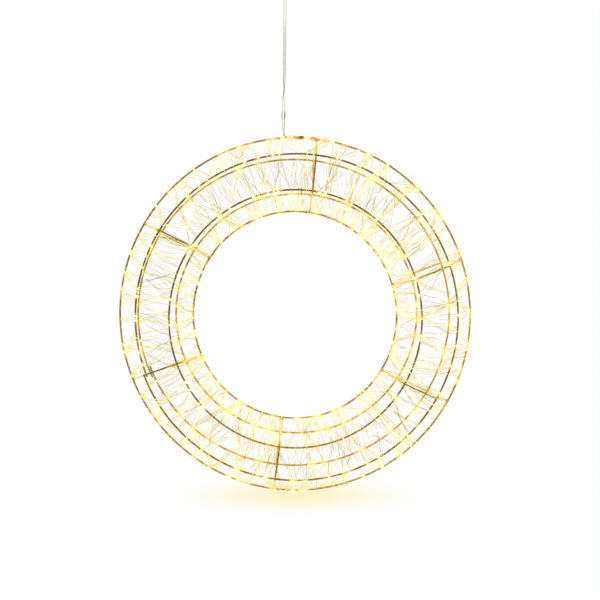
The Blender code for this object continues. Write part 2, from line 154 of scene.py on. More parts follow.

# Painted lamp light on the wires, held in the light attribute of their meshes: 0 is dark and 1 is bright
GLOW_REACH = 0.005
GLOW_END = 2.5 * GLOW_REACH
NEAR_LIGHT, FACING_LIGHT = 0.45, 0.44  # gained beside a lamp, and on the side that faces the section's middle
FACING_FROM, FACING_WIDTH = -0.9, 1.2  # how squarely that side has to face it
# Painted light on the string wires at rings, in the flat faces and on the slants: share, lowest and highest light
CROSSING_LIGHTS = ((0.52, 0.22, 0.58), (0.38, 0.6, 1.00), (0.1, 1.1, 1.6))
FLAT_LIGHTS = ((0.1, 0.0, 0.2), (0.5, 0.3, 0.55), (0.4, 0.55, 0.8))
SLANT_LIGHTS = ((0.03, 0.1, 0.3), (0.27, 0.4, 0.6), (0.7, 0.6, 0.95))
FLAT_AFTER = ("ring_front_outer", "ring_back_inner")  # the stretch after these rings lies in a flat face
HOOP_LIGHT, HOOP_SLANT_LIGHT, HOOP_FADE = 0.1, 0.8, 0.012  # the hoops' own, and how deep the change is
RING_SHADES = (0.02, -0.05, -0.19, -0.05, 0.09, -0.02)  # the rings' own, at 30, 90, 150 ... degrees
ANCHOR_LIGHT = 0.45  # what the outermost ring gains along the anchor

# Camera, floor and the painted warm patch of light that the lamps throw on it
VIEW_DISTANCE, VIEW_RISE = 1.18, radians(4.0)
LENS, SENSOR, SHIFT_X, SHIFT_Y = 65.46, 36.0, 0.0077, 0.0269
FLOOR_HEIGHT, FLOOR_SIZE = -0.606, 30.0
PATCH_REACH, PATCH_LIGHT_COLOUR = (0.149, 0.103), (1.0, 0.885, 0.59)


# ---- materials

def new_material(name, **sockets):
    """A Principled material with plain values set on its own sockets."""
    made = bpy.data.materials.new(name)
    made.use_nodes = True
    shader = made.node_tree.nodes["Principled BSDF"]
    for socket, value in sockets.items():
        shader.inputs[socket.replace("_", " ")].default_value = value
    return made, made.node_tree, shader


def noise_field(tree, scale):
    """Noise in object space, from 0 to 1."""
    place = tree.nodes.new("ShaderNodeTexCoord")
    pattern = tree.nodes.new("ShaderNodeTexNoise")
    pattern.inputs["Scale"].default_value = scale
    pattern.inputs["Detail"].default_value = 3.0
    tree.links.new(place.outputs["Object"], pattern.inputs["Vector"])
    return pattern.outputs["Fac"]


def light_attribute(tree):
    """The light that the mesh holds for each vertex."""
    light = tree.nodes.new("ShaderNodeAttribute")
    light.attribute_name = "light"
    return light.outputs["Fac"]


def colour_ramp(tree, value, stops):
    """Colours at places from 0 to 1. stops are (place, red, green, blue)."""
    ramp = tree.nodes.new("ShaderNodeValToRGB")
    elements = ramp.color_ramp.elements
    while len(elements) < len(stops):
        elements.new(0.5)
    for element, (position, *colour) in zip(elements, stops):
        element.position = position
        element.color = (*colour, 1.0)
    tree.links.new(value, ramp.inputs["Fac"])
    return ramp.outputs["Color"]


def calculate(tree, operation, a, b):
    """A Math node. b is an output or a number."""
    node = tree.nodes.new("ShaderNodeMath")
    node.operation = operation
    tree.links.new(a, node.inputs[0])
    if isinstance(b, float):
        node.inputs[1].default_value = b
    else:
        tree.links.new(b, node.inputs[1])
    return node.outputs["Value"]


def add_bump(tree, shader, scale, strength):
    """Fine noise in the surface."""
    bump = tree.nodes.new("ShaderNodeBump")
    bump.inputs["Strength"].default_value = strength
    bump.inputs["Distance"].default_value = 0.0001
    tree.links.new(noise_field(tree, scale), bump.inputs["Height"])
    tree.links.new(bump.outputs["Normal"], shader.inputs["Normal"])


def lit_material(name, tones, glow, scale, spread, **sockets):
    """A surface with painted lamp light. tones and glow are its colour and its painted glow, picked by the painted
    light attribute of its mesh, which noise makes uneven by spread."""
    made, tree, shader = new_material(name, **sockets)
    uneven = calculate(tree, "MULTIPLY", calculate(tree, "SUBTRACT", noise_field(tree, scale), 0.5), 2.0 * spread)
    value = calculate(tree, "ADD", light_attribute(tree), uneven)
    halved = calculate(tree, "MULTIPLY", value, 0.5)
    for socket, stops in (("Base Color", tones), ("Emission Color", glow)):
        colour = colour_ramp(tree, halved, [(place / 2, *colour) for place, *colour in stops])
        tree.links.new(colour, shader.inputs[socket])
    shader.inputs["Emission Strength"].default_value = 1.0
    add_bump(tree, shader, 1400.0, 0.25)
    return made


def speckled_material(name, dark, pale, scale, grain, bump, **sockets):
    """A solid whose colour and gloss vary a little over its surface."""
    made, tree, shader = new_material(name, **sockets)
    stops = ((0.3, *dark), (0.7, *pale))
    tree.links.new(colour_ramp(tree, noise_field(tree, scale), stops), shader.inputs["Base Color"])
    rough = calculate(tree, "MULTIPLY", noise_field(tree, scale * 2.3), 1.6 * sockets["Roughness"])
    tree.links.new(calculate(tree, "ADD", rough, 0.2 * sockets["Roughness"]), shader.inputs["Roughness"])
    add_bump(tree, shader, grain, bump)
    return made


def make_materials():
    """Every material of the object, by name. A lit one has its tones, and then its painted glow."""
    feed = {"scale": 300.0, "grain": 900.0, "bump": 0.2, "Metallic": 0.3, "Roughness": 0.3}
    solder = {"scale": 900.0, "grain": 2600.0, "bump": 0.5}
    found = (
        lit_material(
            "frame_wire",
            ((0.0, 0.15, 0.11, 0.012), (0.25, 0.34, 0.23, 0.02), (0.6, 0.78, 0.5, 0.06), (1.0, 1.0, 0.78, 0.2)),
            ((0.5, 0, 0, 0), (0.75, 0.1, 0.06, 0.005), (1.0, 0.5, 0.36, 0.08)),
            scale=210.0, spread=0.5, Metallic=1.0, Roughness=0.36,
        ),
        lit_material(
            "hoop_wire",
            ((0.0, 0.11, 0.085, 0.012), (0.3, 0.48, 0.27, 0.025), (0.6, 0.86, 0.58, 0.15), (1.0, 0.96, 0.8, 0.42)),
            ((0.7, 0, 0, 0), (1.0, 0.15, 0.12, 0.08)),
            scale=130.0, spread=0.22, Metallic=1.0, Roughness=0.38,
        ),
        lit_material(
            "string_wire",
            ((0.0, 0.24, 0.2, 0.04), (0.3, 0.58, 0.48, 0.05), (0.6, 0.86, 0.7, 0.08), (1.0, 1.0, 0.85, 0.2)),
            ((0.35, 0, 0, 0), (0.6, 0.06, 0.05, 0.0), (0.85, 0.18, 0.16, 0.02), (1.0, 0.35, 0.3, 0.08),
             (1.8, 3.0, 2.6, 1.0)),
            scale=170.0, spread=0.22, Metallic=0.8, Roughness=0.35,
        ),
        lit_material(
            "amber_enamel",
            ((0.0, 0.06, 0.045, 0.006), (0.35, 0.5, 0.28, 0.03), (0.7, 0.98, 0.5, 0.07), (1.0, 1.0, 0.78, 0.36),
             (1.5, 1.0, 0.82, 0.52)),
            ((0.35, 0, 0, 0), (0.7, 0.1, 0.05, 0.0), (1.0, 0.25, 0.16, 0.06), (1.5, 0.25, 0.17, 0.09)),
            scale=420.0, spread=0.25, Metallic=0.95, Roughness=0.25,
        ),
        lit_material(
            "clear_plastic",
            ((0.0, 0.34, 0.34, 0.25), (0.45, 0.66, 0.67, 0.57), (1.0, 0.96, 0.97, 0.9)),
            ((0.3, 0, 0, 0), (1.0, 0.3, 0.3, 0.26)),
            scale=260.0, spread=0.12, Roughness=0.16, IOR=1.5, Transmission_Weight=0.2,
        ),
        # A darker copy of the feed enamel: painted shade on the right feed wire
        speckled_material("shaded_feed_enamel", (0.28, 0.23, 0.05), (0.52, 0.44, 0.14), **feed),
        speckled_material("feed_enamel", (0.38, 0.32, 0.08), (0.7, 0.6, 0.25), **feed),
        # The glue's emission is a painted glow of the lamps' light
        speckled_material(
            "amber_glue", (0.9, 0.45, 0.05), (1.0, 0.75, 0.22), scale=380.0, grain=500.0, bump=0.4,
            Roughness=0.12, Emission_Color=(1.0, 0.6, 0.12, 1.0), Emission_Strength=0.3,
        ),
        speckled_material(
            "tinned_copper", (0.5, 0.47, 0.36), (0.82, 0.79, 0.66), Metallic=0.9, Roughness=0.35, **solder,
        ),
        speckled_material(
            "fluxed_solder", (0.1, 0.09, 0.03), (0.26, 0.23, 0.1), Metallic=0.6, Roughness=0.4, **solder,
        ),
        speckled_material(
            "white_moulding", (0.78, 0.78, 0.75), (0.86, 0.86, 0.84), scale=160.0, grain=3200.0, bump=0.35,
            Roughness=0.42,
        ),
        speckled_material(
            "bright_steel", (0.56, 0.57, 0.59), (0.78, 0.78, 0.79), scale=120.0, grain=1800.0, bump=0.2,
            Metallic=1.0, Roughness=0.2,
        ),
        lamp_material(),
    )
    # Blender adds a number to a name that the CAD's own materials have
    return {made.name.partition(".")[0]: made for made in found}


def lamp_material():
    """Clear epoxy that glows most round its middle."""
    made, tree, shader = new_material("lamp_drop", Roughness=0.12, IOR=1.5, Base_Color=(1.0, 0.93, 0.75, 1.0))
    glow = (
        (0.0, 0.2, 0.14, 0.02), (0.1, 0.9, 0.62, 0.1), (0.35, 1.3, 1.1, 0.5), (LAMP_LIGHT, 1.3, 1.1, 0.5),
        (1.0, 3.0, 2.9, 2.3),
    )
    tree.links.new(colour_ramp(tree, light_attribute(tree), glow), shader.inputs["Emission Color"])
    shader.inputs["Emission Strength"].default_value = 1.0
    add_bump(tree, shader, 500.0, 0.15)
    return made


# ---- shapes

def new_object(name, data):
    """An object in the scene."""
    obj = bpy.data.objects.new(name, data)
    bpy.context.scene.collection.objects.link(obj)
    return obj


class Shape:
    """The vertices and faces of one piece, with the painted lamp light of each vertex."""

    def __init__(self):
        self.verts, self.faces, self.light = [], [], []

    def add(self, vert, light=0.0):
        """A new vertex. Returns its number."""
        self.verts.append(vert)
        self.light.append(light)
        return len(self.verts) - 1

    def piece(self, name, paint, slot, body="wreath", sharp=60):
        """One smooth-shaded mesh object of the shape, which rides on a body. Edges past sharp degrees stay sharp."""
        mesh = bpy.data.meshes.new(name)
        mesh.from_pydata([tuple(v) for v in self.verts], [], self.faces)
        mesh.materials.append(paint)
        mesh.attributes.new("light", "FLOAT", "POINT").data.foreach_set("value", self.light)
        bm = bmesh.new()
        bm.from_mesh(mesh)
        bmesh.ops.recalc_face_normals(bm, faces=bm.faces)
        bm.to_mesh(mesh)
        bm.free()
        mesh.shade_smooth()
        mesh.set_sharp_from_angle(angle=radians(sharp))
        obj = new_object(name, mesh)
        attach(obj, body)
        return obj


LAMPS = []  # the centre of every lamp drop, the anchor's first


def ease(share):
    """A smooth step from 0 to 1."""
    share = min(1.0, max(0.0, share))
    return share * share * (3 - 2 * share)


def light_near(tree, point):
    """Painted lamp light: 0 far from every lamp, towards NEAR_LIGHT beside one."""
    found = tree.find_range(point, GLOW_END)
    return NEAR_LIGHT * min(1.0, sum(exp(-((distance / GLOW_REACH) ** 2)) for _, _, distance in found))


def lamp_tree():
    """Finds the lamps near a point."""
    tree = kdtree.KDTree(len(LAMPS))
    for index, centre in enumerate(LAMPS):
        tree.insert(centre, index)
    tree.balance()
    return tree


def around(sides):
    """Angles round a circle."""
    return [tau * side / sides for side in range(sides)]


def inward(point):
    """The way from a point to the middle of the wire tube's section."""
    radial = point - CENTRE
    radial.y = 0.0
    return (CENTRE + radial.normalized() * SECTION_MIDDLE - point).normalized()


def sweep(shape, points, radius, sides, closed=False, radii=None, own=None, tree=None, facing=0.0):
    """Adds a round tube along points, whose frame turns as little as it can from point to point. own is the painted
    light of each point, tree the lamps whose painted light adds to it, and facing the painted light that the side
    towards the section's middle gains."""
    count, start = len(points), len(shape.verts)
    ahead = [points[(i + 1) % count] if closed else points[min(i + 1, count - 1)] for i in range(count)]
    behind = [points[i - 1] if closed or i else points[0] for i in range(count)]
    tangents = [(a - b).normalized() for a, b in zip(ahead, behind)]
    across = tangents[0].orthogonal().normalized()
    for i, (point, tangent) in enumerate(zip(points, tangents)):
        across = (across - tangent * across.dot(tangent)).normalized()
        up = tangent.cross(across)
        size = radii[i] if radii else radius
        light = (own[i] if own else 0.0) + (light_near(tree, point) if tree else 0.0)
        towards = inward(point) if facing else None
        for turn in around(sides):
            normal = cos(turn) * across + sin(turn) * up
            gain = facing * ease((normal.dot(towards) - FACING_FROM) / FACING_WIDTH) if facing else 0.0
            shape.add(point + size * normal, light + gain)
    offset = 0
    if closed:
        first = shape.verts[start] - points[0]
        last = start + (count - 1) * sides
        near = [(shape.verts[last + k] - points[-1]).dot(first) for k in range(sides)]
        offset = near.index(max(near))
    for i in range(count if closed else count - 1):
        here, there = start + i * sides, start + (i + 1) % count * sides
        lag = offset if closed and i == count - 1 else 0
        for k in range(sides):
            a, b = here + (k + lag) % sides, here + (k + 1 + lag) % sides
            shape.faces.append((a, b, there + (k + 1) % sides, there + k))
    if not closed:
        shape.faces += [tuple(range(end, end + sides)) for end in (start, start + (count - 1) * sides)]


def loft(shape, rows, closed=False):
    """Joins rows of points into a skin. A row of one point is a tip. A closed loft joins its last row to its first."""
    indices = [[shape.add(point) for point in row] for row in rows]
    for here, there in zip(indices, indices[1:] + indices[:1] if closed else indices[1:]):
        sides = max(len(here), len(there))
        for k in range(sides):
            after = (k + 1) % sides
            near = [here[0]] if len(here) == 1 else [here[k], here[after]]
            far = [there[0]] if len(there) == 1 else [there[after], there[k]]
            shape.faces.append((*near, *far))
    if not closed:
        shape.faces += [tuple(row) for row in (indices[0], indices[-1]) if len(row) > 1]


def turned_rows(profile, centre=(0, 0, 0), axis=(0, 0, 1), steps=48, ridges=0, ridge_depth=0.0, dents=0.0):
    """Rows round an axis through centre. profile holds (radius, height) points, and the widest ones get ridges.
    dents are for a band: its bore gets none."""
    widest = max(radius for radius, _ in profile)
    spin = Vector((0, 0, 1)).rotation_difference(Vector(axis))
    rows = []
    for radius, height in profile:
        if not radius:
            rows.append([Vector(centre) + spin @ Vector((0, 0, height))])
            continue
        row = []
        for turn in around(steps):
            size = radius
            if ridges and radius > 0.97 * widest:
                size -= ridge_depth * (0.5 + 0.5 * cos(ridges * turn)) ** 2
            if dents and radius > BAND_BORE * 1.05:
                size -= dents * (0.5 + 0.5 * noise.noise(Vector((cos(turn), sin(turn), height * 900))))
            row.append(Vector(centre) + spin @ Vector((size * cos(turn), size * sin(turn), height)))
        rows.append(row)
    return rows


def smooth_path(points, steps):
    """Points on a Catmull-Rom curve through the given ones."""
    points = [Vector(point) for point in points]
    ends = [2 * points[0] - points[1], *points, 2 * points[-1] - points[-2]]
    found = []
    for a, b, c, d in zip(ends, ends[1:], ends[2:], ends[3:]):
        for step in range(steps):
            t = step / steps
            found.append(0.5 * (2 * b + (c - a) * t + (2 * a - 5 * b + 4 * c - d) * t**2
                                + (3 * b - a - 3 * c + d) * t**3))
    return found + [points[-1]]


def add_drop(shape, centre, along, length=LAMP_LENGTH, radius=LAMP_RADIUS, light=LAMP_LIGHT):
    """A lamp drop moulded on a wire: a long bead with drawn-out ends, brightest round its middle."""
    start = len(shape.verts)
    across = along.orthogonal().normalized()
    up = along.cross(across)
    profile = ((0.0, 0.5), (0.3, 0.46), (0.72, 0.34), (0.96, 0.15), (1.0, 0.0), (0.94, -0.16), (0.66, -0.36),
               (0.28, -0.46), (0.0, -0.5))
    rows = []
    for size, place in profile:
        middle = centre + along * place * length
        row = [middle + size * radius * (cos(turn) * across + sin(turn) * up) for turn in around(10)]
        rows.append(row if size else [middle])
    loft(shape, rows)
    for index in range(start, len(shape.verts)):
        off = abs((shape.verts[index] - centre).dot(along)) / (length / 2)
        shape.light[index] = light * (1.0 - off**3)


def add_blob(shape, centre, sizes, axes, seed, light, lumps=0.14, subdivisions=3):
    """A lumpy ellipsoid of solder or glue. sizes are its half sizes along axes."""
    bm = bmesh.new()
    bmesh.ops.create_icosphere(bm, subdivisions=subdivisions, radius=1.0)
    start = len(shape.verts)
    for v in bm.verts:
        swell = 1.0 + lumps * noise.noise(v.co * 1.9 + Vector((seed, seed, seed)))
        shape.add(centre + sum((axis * size * swell * c for axis, size, c in zip(axes, sizes, v.co)), Vector()), light)
    shape.faces += [tuple(start + v.index for v in f.verts) for f in bm.faces]
    bm.free()


# ---- frame wires

def ring_point(ring, degrees, outward=0.0, lean=0.0, turn=0):
    """A point at an angle round a ring. outward moves it off the wire's middle, away from the section's middle,
    and lean turns that direction towards the next ring. turn is 1 or -1 where the wire runs past its seam."""
    theta = radians(degrees)
    direction = radians(ring.direction + lean)
    spiral = ((degrees - ring.seam) % 360.0) / 360.0 + turn
    oval = ring.oval * cos(2 * radians(degrees - ring.long_axis))
    radius = ring.radius + oval + ring.step * (0.5 - spiral) + outward * cos(direction)
    return CENTRE + Vector((
        ring.shift_x + radius * cos(theta),
        ring.depth - outward * sin(direction),
        ring.shift_z + radius * sin(theta),
    ))


def ring_axes(ring, degrees):
    """Along the ring, outward from the section's middle, and across both."""
    theta = radians(degrees)
    along = Vector((-sin(theta), 0.0, cos(theta)))
    outward = (ring_point(ring, degrees, 0.001) - ring_point(ring, degrees)).normalized()
    return along, outward, along.cross(outward)


def ring_shade(degrees):
    """The rings' painted light and shade at an angle, eased from one of RING_SHADES to the next."""
    place = (degrees - 30.0) / 60.0
    here = math.floor(place)
    share = ease(place - here)
    return (1 - share) * RING_SHADES[here % 6] + share * RING_SHADES[(here + 1) % 6]


def make_rings(paint, tree):
    """Six rings. A ring with a step laps at its seam."""
    steps = 720
    for ring in RINGS:
        shape = Shape()
        if ring.step:
            angles = [ring.seam + (360.0 + 2 * ring.lap) * step / steps - ring.lap for step in range(steps + 1)]
            turns = [-1 if at < ring.seam else 1 if at > ring.seam + 360.0 else 0 for at in angles]
        else:
            angles, turns = [360.0 * step / steps for step in range(steps)], [0] * steps
        points = [ring_point(ring, at, turn=turn) for at, turn in zip(angles, turns)]
        # Painted light of the ring: shade by angle, and more along the bare stretch and the anchor
        own = [ring_shade(at) + BARE_GAIN * bareness(ring, at) for at in angles]
        if ring is OUTERMOST:
            low, high = ANCHOR_STRETCH
            own = [light + ANCHOR_LIGHT * (low < at < high) for light, at in zip(own, angles)]
        sweep(shape, points, RING_WIRE, sides=12, closed=not ring.step, own=own, tree=tree, facing=FACING_LIGHT)
        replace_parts(shape.piece(ring.name + "_wire", paint, "gold_wire"), ring.name)


def rounded(before, corner, after, steps):
    """Points along a bend from one point to another, round the corner between them."""
    shares = [step / steps for step in range(steps + 1)]
    return [(1 - t) ** 2 * before + 2 * t * (1 - t) * corner + t**2 * after for t in shares]


def make_hoops(paint, tree):
    """Six hexagons of bent wire with rounded corners, one corner at each ring."""
    for name, angles in HOOPS:
        corners = [ring_point(ring, degrees, -HOOP_INSET) for ring, degrees in zip(RINGS, angles)]
        points = []
        for index, corner in enumerate(corners):
            following = corners[(index + 1) % len(corners)]
            before = corner + (corners[index - 1] - corner).normalized() * CORNER_CUT
            after = corner + (following - corner).normalized() * CORNER_CUT
            next_before = following + (corner - following).normalized() * CORNER_CUT
            points += rounded(before, corner, after, steps=6)
            points += [after.lerp(next_before, step / 10) for step in range(1, 10)]
        # Painted light: the hoops are darker in the flat faces and lighter on the slants
        fade = [ease((SECTION_DEPTH - HOOP_INSET - abs(point.y)) / HOOP_FADE) for point in points]
        own = [HOOP_LIGHT + (HOOP_SLANT_LIGHT - HOOP_LIGHT) * share for share in fade]
        shape = Shape()
        sweep(shape, points, HOOP_WIRE, sides=12, closed=True, own=own, tree=tree, facing=FACING_LIGHT)
        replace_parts(shape.piece(name + "_wire", paint, "bronze_wire"), name)


def make_welds(paint, tree):
    """A small weld bead wherever a hoop meets a ring, one at each lapped end, and a longer one by the anchor."""
    shape = Shape()
    places = [(ring, at, WELD_OUTWARD, WELD_SIZE) for _, angles in HOOPS for ring, at in zip(RINGS, angles)]
    laps = [(ring, ring.seam + way * ring.lap) for ring in RINGS if ring.step for way in (-1, 1)]
    places += [(ring, at, 0.0, LAP_WELD_SIZE) for ring, at in laps]
    for number, (ring, at, outward, sizes) in enumerate([*places, ANCHOR_WELD]):
        centre = ring_point(ring, at, outward)
        # Painted light of each bead: a base level, the lamps beside it, and more at the anchor's bead
        light = WELD_LIGHT + light_near(tree, centre) + ANCHOR_WELD_LIGHT * (at == ANCHOR_WELD[1])
        add_blob(shape, centre, sizes, ring_axes(ring, at), 0.7 * number, light, subdivisions=2)
    shape.piece("weld_beads", paint, "gold_wire")


# ---- light strings

def clear_of_fittings(ring, degrees):
    """The angle, moved out of the stretch that the anchor or a seam takes up, to its nearer end."""
    if ring is OUTERMOST:
        low, high = ANCHOR_STRETCH
    elif ring.step:
        low, high = ring.seam - ring.lap - SEAM_CLEAR, ring.seam + ring.lap + SEAM_CLEAR
    else:
        return degrees
    within = degrees % 360.0
    if low < within < high:
        return degrees + (low if within - low < high - within else high) - within
    return degrees


def string_corners(first, way, chance):
    """The ring and the angle at each place where a string passes a ring."""
    crossings = TURNS * len(RINGS)
    corners = []
    for crossing in range(crossings):
        ring = RINGS[crossing % len(RINGS)]
        even = first + way * STRING_SPAN * crossing / crossings
        even -= CROWDING * sin(2 * radians(even - CROWDED_AT))
        corners.append((ring, clear_of_fittings(ring, even + chance.gauss(0.0, SLANT))))
    return corners


def bareness(ring, degrees):
    """1 along the bottom of the bare ring, and 0 elsewhere."""
    low, high = BARE_STRETCH
    within = degrees % 360.0
    return ease((within - low) / BARE_EASE) * ease((high - within) / BARE_EASE) if ring.name == BARE_RING else 0.0


def pick_light(tones, chance):
    """A painted light, picked by the shares of a list of light ranges."""
    _, low, high = chance.choices(tones, [share for share, _, _ in tones])[0]
    return chance.uniform(low, high)


def string_wire(corners, outward, side, chance):
    """One wire of a string. It bends round the outside of each ring and bows a little between them. The flat faces'
    stretches get less painted light than the slanting ones."""
    points, own, off = [], [], 0.0
    for (ring, degrees), (next_ring, next_degrees) in zip(corners, corners[1:]):
        at = degrees + math.degrees((side * WIRE_PITCH + off) / ring.radius)
        off = chance.gauss(0.0, WIRE_SPREAD)
        following = next_degrees + math.degrees((side * WIRE_PITCH + off) / next_ring.radius)
        points += [ring_point(ring, at, outward, lean) for lean in (-WRAP, 0.0, WRAP)]
        keeps = 1.0 - (1.0 - BARE_KEEPS) * bareness(ring, degrees)
        own += [pick_light(CROSSING_LIGHTS, chance) * keeps] * AT_RING
        start, end = points[-1], ring_point(next_ring, following, outward, -WRAP)
        span = end - start
        out = ring_axes(ring, at)[1]
        sideways = span.cross(out).normalized()
        bend, wave, dip = chance.gauss(0.0, BOW), chance.gauss(0.0, BOW / 2), abs(chance.gauss(0.0, DIP))
        # Painted light of the stretch: less in the flat faces than on the slants
        stretch_light = pick_light(FLAT_LIGHTS if ring.name in FLAT_AFTER else SLANT_LIGHTS, chance)
        for share in SHARES:
            rise = sin(pi * share) ** 2
            lift = bend * rise + wave * sin(tau * share) * rise
            points.append(start + span * share + sideways * lift - out * dip * rise)
            own.append(stretch_light)
    return points, own


def lamp_places(corners, chance):
    """Where the lamps sit on a string: the number of a stretch, and a place of SHARES along it, or -1 at its ring.
    The last stretch has none."""
    places = []
    due = chance.uniform(0.2, 1.0) * LAMP_PITCH
    for number, ((ring, degrees), (next_ring, next_degrees)) in enumerate(zip(corners, corners[1:-1])):
        due -= (ring_point(next_ring, next_degrees) - ring_point(ring, degrees)).length
        if due > 0 or near_hoop((degrees + next_degrees) / 2):
            continue
        due += LAMP_PITCH * chance.uniform(0.8, 1.2)
        places.append((number, -1 if chance.random() < LAMPS_ON_RINGS else chance.randrange(len(SHARES))))
    return places


def near_hoop(degrees):
    """Whether an angle lies beside a hoop."""
    off = [(degrees - sum(angles) / len(angles) + 180.0) % 360.0 - 180.0 for _, angles in HOOPS]
    return min(map(abs, off)) < CLEAR_OF_HOOPS


def pull_to(points, index, centre):
    """Draws a wire to a lamp, with the points beside it following."""
    move, reach = centre - points[index], 2
    for near in range(max(0, index - reach), min(len(points), index + reach + 1)):
        points[near] = points[near] + move * (0.5 ** abs(near - index))


def make_strings(paints):
    """Four strings of three wires each, and their lamps. Returns the lamps' search tree."""
    strings = []
    per = AT_RING + len(SHARES)
    LAMPS.append(ring_point(OUTERMOST, DROP_AT, RING_WIRE + DROP_RADIUS + GAP, DROP_LEAN))
    for name, first, way, outward, seed in STRINGS:
        chance = random.Random(seed)
        corners = string_corners(first, way, chance)
        wires = [string_wire(corners, outward, side, chance) for side in WIRES]
        drops = Shape()
        for number, share in lamp_places(corners, chance):
            share = BARE_SHARE if share < 0 and bareness(*corners[number]) else share
            index = number * per + (1 if share < 0 else AT_RING + share)
            middle, behind, ahead = (wires[1][0][index + step] for step in (0, -1, 1))
            middle, along = middle.copy(), (ahead - behind).normalized()
            if share < 0:
                ring, degrees = corners[number]
                middle = ring_point(ring, degrees, RING_WIRE + LAMP_RADIUS, over_lean(ring, chance))
            for points, _ in wires:
                pull_to(points, index, middle + (points[index] - middle).normalized() * LIGHT_WIRE)
            add_drop(drops, middle, along)
            LAMPS.append(middle)
        strings.append((name, wires, drops))
    length, radius = BIG_LAMP_SIZE
    for degrees in BIG_LAMPS:
        centre = ring_point(OUTERMOST, degrees, RING_WIRE + radius, BIG_LAMP_LEAN)
        add_drop(strings[0][2], centre, ring_axes(OUTERMOST, degrees)[0], length, radius, 1.0)
        LAMPS.append(centre)
    tree = lamp_tree()
    for name, wires, drops in strings:
        shape = Shape()
        for points, own in wires:
            sweep(shape, points, LIGHT_WIRE, sides=6, own=own, tree=tree)
        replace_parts(shape.piece(name + "_wire", paints["string_wire"], "light_wire"), name)
        drops.piece(name.replace("light_string", "lamp_drops"), paints["lamp_drop"], "lamp_drop")
    return tree


def over_lean(ring, chance):
    """How far a lamp turns round its ring: near outward on front and back rings, and aside on the other two."""
    if ring.depth:
        return chance.uniform(-LAMP_LEAN, LAMP_LEAN)
    return chance.choice((-1, 1)) * chance.uniform(*EDGE_LAMP_LEAN)


# ---- anchor

def make_feed_wires(paints):
    """Two enamelled wires from the splice, down to the outermost ring and along its top under the coil."""
    # Name, material, how far forward it lies on the ring, and points from the wreath's centre, the first in the sleeve
    wires = (
        ("feed_wire_left", "feed_enamel", 0.0,
         ((-0.01365, 0.0, None), (-0.0136, 0.0, 0.206), (-0.0134, 0.0, 0.201),
          (-0.0131, 0.0, 0.197), (-0.0124, 0.0, 0.1942), (-0.0112, 0.0, 0.193))),
        ("feed_wire_right", "shaded_feed_enamel", 50.0,
         ((-0.01175, 0.0, None), (-0.0118, -0.0003, 0.206), (-0.012, -0.0008, 0.2005),
          (-0.0118, -0.0012, 0.196), (-0.0112, -0.0013, 0.1934), (-0.01, -0.0013, 0.1924))),
    )
    top = SPLICE_TOP - SPLICE_LENGTH + FEED_LAP
    for name, paint, lean, drop in wires:
        route = [Vector((CENTRE.x + dx, y, top if dz is None else CENTRE.z + dz)) for dx, y, dz in drop]
        route += [ring_point(OUTERMOST, degrees, FEED_HEIGHT, lean) for degrees in FEED_PLACES]
        shape = Shape()
        sweep(shape, smooth_path(route, steps=6), FEED_WIRE, sides=10)
        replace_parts(shape.piece(name + "_enamelled", paints[paint], "enamelled_copper"), name)


def make_anchor(paints):
    """The binding coil, the crimp bands, the glue bead and the first lamp."""
    per_turn, points = 20, []
    whole = COIL_TURNS * per_turn
    for step in range(whole + 1):
        degrees = COIL_FROM + (COIL_TO - COIL_FROM) * (step / whole)
        points.append(ring_point(OUTERMOST, degrees, COIL_RADIUS, 360.0 * step / per_turn))
    coil = Shape()
    # Painted light of the coil, enough that it glows
    sweep(coil, points, COIL_WIRE, sides=8, own=[COIL_LIGHT] * len(points))
    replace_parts(coil.piece("binding_coil_wire", paints["amber_enamel"], "enamelled_copper"), "binding_coil")
    for band in BANDS:
        add_band(*band, paints["amber_enamel"])
    bead, half = Shape(), BEAD_LENGTH / 2
    centre, axes = ring_point(OUTERMOST, BEAD_AT), ring_axes(OUTERMOST, BEAD_AT)
    add_blob(bead, centre, (half, BEAD_RADIUS, BEAD_RADIUS), axes, 4.0, 0.8)
    add_blob(bead, centre - axes[0] * half * 0.7, (half * 0.8, TAIL_RADIUS, TAIL_RADIUS), axes, 9.0, 0.8)
    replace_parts(bead.piece("glue_bead_amber", paints["amber_glue"], "amber_glue"), "glue_bead")
    drop = Shape()
    add_drop(drop, LAMPS[0], ring_axes(OUTERMOST, DROP_AT)[0], DROP_LENGTH, DROP_RADIUS, 0.0)
    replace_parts(drop.piece("anchor_lamp_drop_glow", paints["lamp_drop"], "lamp_drop"), "anchor_lamp_drop")


def add_band(name, at, length, radius, seed, light, shade, paint):
    """A rolled metal band with turned-in rims, a little dented, closed round the wire bundle."""
    half, rim = length / 2, BAND_RIM
    profile = [(BAND_BORE, -half), (radius - 2 * rim, -half)]
    for step in range(13):
        share = step / 12
        crown = rim * (sin(pi * share) ** 0.5 - 0.6)
        profile.append((radius + crown - 0.4 * rim, (2 * share - 1) * (half - 0.3 * rim)))
    profile += [(radius - 2 * rim, half), (BAND_BORE, half)]
    centre, along = ring_point(OUTERMOST, at), ring_axes(OUTERMOST, at)[0]
    shape = Shape()
    loft(shape, turned_rows(profile, centre, along, steps=36, dents=0.0002), closed=True)
    for index, vert in enumerate(shape.verts):
        top, right = 0.5 + 0.5 * (vert - centre).z / radius, 0.5 - (vert - centre).dot(along) / length
        blotch = 0.25 * noise.noise(vert * 300 + Vector((seed, 0, 0)))
        # Painted light of the band, with painted shade on the top's right and random blotches
        shape.light[index] = light - shade * top * ease(2.2 * right - 0.4) + blotch
    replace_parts(shape.piece(name + "_rolled", paint, "enamelled_copper"), name)


# ---- splice, lead and hanging parts

